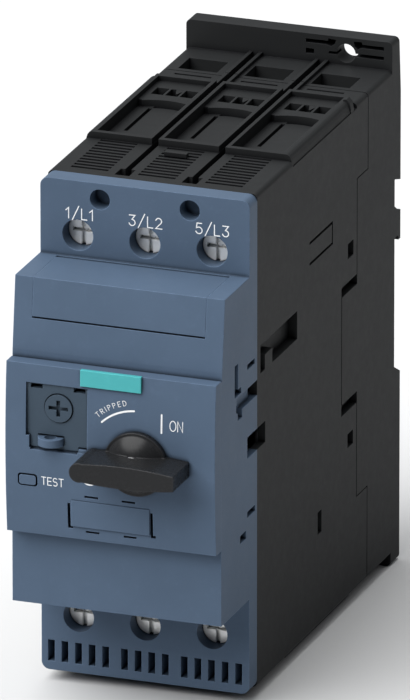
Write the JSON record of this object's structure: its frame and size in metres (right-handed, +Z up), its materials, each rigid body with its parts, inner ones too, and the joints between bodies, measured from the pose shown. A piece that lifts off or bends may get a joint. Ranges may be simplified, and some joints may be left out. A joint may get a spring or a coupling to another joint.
{
  "type": "motor protection breaker",
  "caption": "Three-pole motor protection breaker with rotary handle, current dial, test button and screw terminals, for a 35 mm mounting rail.",
  "frame": {"origin": "centre of the rail recess on the rear mounting plane", "axes": "+X across the poles to the right seen from the front, +Y from the front to the mounting plane, +Z up towards the line terminals"},
  "size_m": [0.055, 0.1499, 0.1401],
  "materials": {
    "black_plastic": "fine-grained moulded",
    "blue_plastic": "fine-grained moulded",
    "slate_plastic": "satin moulded",
    "handle_plastic": "satin moulded",
    "teal_print": "smooth",
    "screw_steel": "zinc plated",
    "clamp_steel": "zinc plated",
    "plate_steel": "plain",
    "copper": "bright copper",
    "bimetal": "rolled",
    "white_plastic": "natural"
  },
  "bodies": {
    "housing": {"rear_housing": "black_plastic", "front_housing": "black_plastic", "front_cover": "blue_plastic", "control_cap": "blue_plastic", "aux_switch_flap": "blue_plastic", "scale_plate": "slate_plastic", "badge_plate": "teal_print", "label_plate": "blue_plastic", "test_spring": "plate_steel", "rail_spring": "plate_steel", "line_cover_1": "black_plastic", "line_cover_2": "black_plastic", "line_cover_3": "black_plastic", "load_cover_1": "black_plastic", "load_cover_2": "black_plastic", "load_cover_3": "black_plastic", "mechanism_frame": "plate_steel", "line_rail_1": "copper", "line_rail_2": "copper", "line_rail_3": "copper", "load_rail_1": "copper", "load_rail_2": "copper", "load_rail_3": "copper", "arc_chute_1": "plate_steel", "arc_chute_2": "plate_steel", "arc_chute_3": "plate_steel", "magnet_coil_1": "copper", "magnet_coil_2": "copper", "magnet_coil_3": "copper", "bimetal_1": "bimetal", "bimetal_2": "bimetal", "bimetal_3": "bimetal"},
    "handle": {"rotary_knob": "handle_plastic", "knob_shaft": "plate_steel", "drive_cam": "white_plastic"},
    "carrier": {"contact_carrier": "black_plastic", "contact_bridge_1": "copper", "contact_bridge_2": "copper", "contact_bridge_3": "copper"},
    "dial": {"setting_dial": "slate_plastic", "setting_cam": "white_plastic"},
    "test_key": {"test_button": "blue_plastic"},
    "trip_bar": {"trip_slide": "white_plastic"},
    "latch": {"latch_lever": "plate_steel"},
    "rail_catch": {"rail_latch": "black_plastic"},
    "screw_l1": {"screw_l1": "screw_steel"},
    "clamp_l1": {"clamp_l1": "clamp_steel"},
    "screw_l2": {"screw_l2": "screw_steel"},
    "clamp_l2": {"clamp_l2": "clamp_steel"},
    "screw_l3": {"screw_l3": "screw_steel"},
    "clamp_l3": {"clamp_l3": "clamp_steel"},
    "screw_t1": {"screw_t1": "screw_steel"},
    "clamp_t1": {"clamp_t1": "clamp_steel"},
    "screw_t2": {"screw_t2": "screw_steel"},
    "clamp_t2": {"clamp_t2": "clamp_steel"},
    "screw_t3": {"screw_t3": "screw_steel"},
    "clamp_t3": {"clamp_t3": "clamp_steel"}
  },
  "joints": [
    {"name": "handle_turn", "type": "hinge", "parent": "housing", "child": "handle", "pos_m": [0.0072, -0.137, 0.0016], "axis": [0, 1, 0], "range_deg": [0, 90]},
    {"name": "carrier_slide", "type": "slide", "parent": "housing", "child": "carrier", "axis": [0, 1, 0], "range_m": [0, 0.004]},
    {"name": "dial_turn", "type": "hinge", "parent": "housing", "child": "dial", "pos_m": [-0.01375, -0.136, 0.013], "axis": [0, 1, 0], "range_deg": [-120, 120]},
    {"name": "test_press", "type": "slide", "parent": "housing", "child": "test_key", "axis": [0, 1, 0], "range_m": [0, 0.0015], "stiffness_N_per_m": 800, "springref_m": -0.001, "deforming": ["test_spring"]},
    {"name": "trip_slide_move", "type": "slide", "parent": "housing", "child": "trip_bar", "axis": [1, 0, 0], "range_m": [0, 0.002], "stiffness_N_per_m": 300, "springref_m": -0.001},
    {"name": "latch_swing", "type": "hinge", "parent": "housing", "child": "latch", "pos_m": [-0.015, -0.0958, 0], "axis": [0, 1, 0], "range_deg": [-9.5, 0]},
    {"name": "rail_catch_pull", "type": "slide", "parent": "housing", "child": "rail_catch", "axis": [0, 0, -1], "range_m": [0, 0.003], "stiffness_N_per_m": 2000, "springref_m": -0.003, "deforming": ["rail_spring"]},
    {"name": "screw_turn_l1", "type": "hinge", "parent": "housing", "child": "screw_l1", "pos_m": [-0.01765, -0.1066, 0.0498], "axis": [0, 1, 0], "range_deg": [0, 1080]},
    {"name": "clamp_lift_l1", "type": "slide", "parent": "housing", "child": "clamp_l1", "axis": [0, -1, 0], "range_m": [0, 0.003]},
    {"name": "screw_turn_l2", "type": "hinge", "parent": "housing", "child": "screw_l2", "pos_m": [0, -0.1066, 0.0498], "axis": [0, 1, 0], "range_deg": [0, 1080]},
    {"name": "clamp_lift_l2", "type": "slide", "parent": "housing", "child": "clamp_l2", "axis": [0, -1, 0], "range_m": [0, 0.003]},
    {"name": "screw_turn_l3", "type": "hinge", "parent": "housing", "child": "screw_l3", "pos_m": [0.01765, -0.1066, 0.0498], "axis": [0, 1, 0], "range_deg": [0, 1080]},
    {"name": "clamp_lift_l3", "type": "slide", "parent": "housing", "child": "clamp_l3", "axis": [0, -1, 0], "range_m": [0, 0.003]},
    {"name": "screw_turn_t1", "type": "hinge", "parent": "housing", "child": "screw_t1", "pos_m": [-0.01765, -0.1066, -0.0509], "axis": [0, 1, 0], "range_deg": [0, 1080]},
    {"name": "clamp_lift_t1", "type": "slide", "parent": "housing", "child": "clamp_t1", "axis": [0, -1, 0], "range_m": [0, 0.003]},
    {"name": "screw_turn_t2", "type": "hinge", "parent": "housing", "child": "screw_t2", "pos_m": [0, -0.1066, -0.0509], "axis": [0, 1, 0], "range_deg": [0, 1080]},
    {"name": "clamp_lift_t2", "type": "slide", "parent": "housing", "child": "clamp_t2", "axis": [0, -1, 0], "range_m": [0, 0.003]},
    {"name": "screw_turn_t3", "type": "hinge", "parent": "housing", "child": "screw_t3", "pos_m": [0.01765, -0.1066, -0.0509], "axis": [0, 1, 0], "range_deg": [0, 1080]},
    {"name": "clamp_lift_t3", "type": "slide", "parent": "housing", "child": "clamp_t3", "axis": [0, -1, 0], "range_m": [0, 0.003]}
  ],
  "couplings": [
    {"joint": "handle_turn", "follows": "carrier_slide", "rad_per_m": 392.69},
    {"joint": "latch_swing", "follows": "trip_slide_move", "rad_per_m": -80},
    {"joint": "screw_turn_l1", "follows": "clamp_lift_l1", "rad_per_m": 6283},
    {"joint": "screw_turn_l2", "follows": "clamp_lift_l2", "rad_per_m": 6283},
    {"joint": "screw_turn_l3", "follows": "clamp_lift_l3", "rad_per_m": 6283},
    {"joint": "screw_turn_t1", "follows": "clamp_lift_t1", "rad_per_m": 6283},
    {"joint": "screw_turn_t2", "follows": "clamp_lift_t2", "rad_per_m": 6283},
    {"joint": "screw_turn_t3", "follows": "clamp_lift_t3", "rad_per_m": 6283}
  ]
}
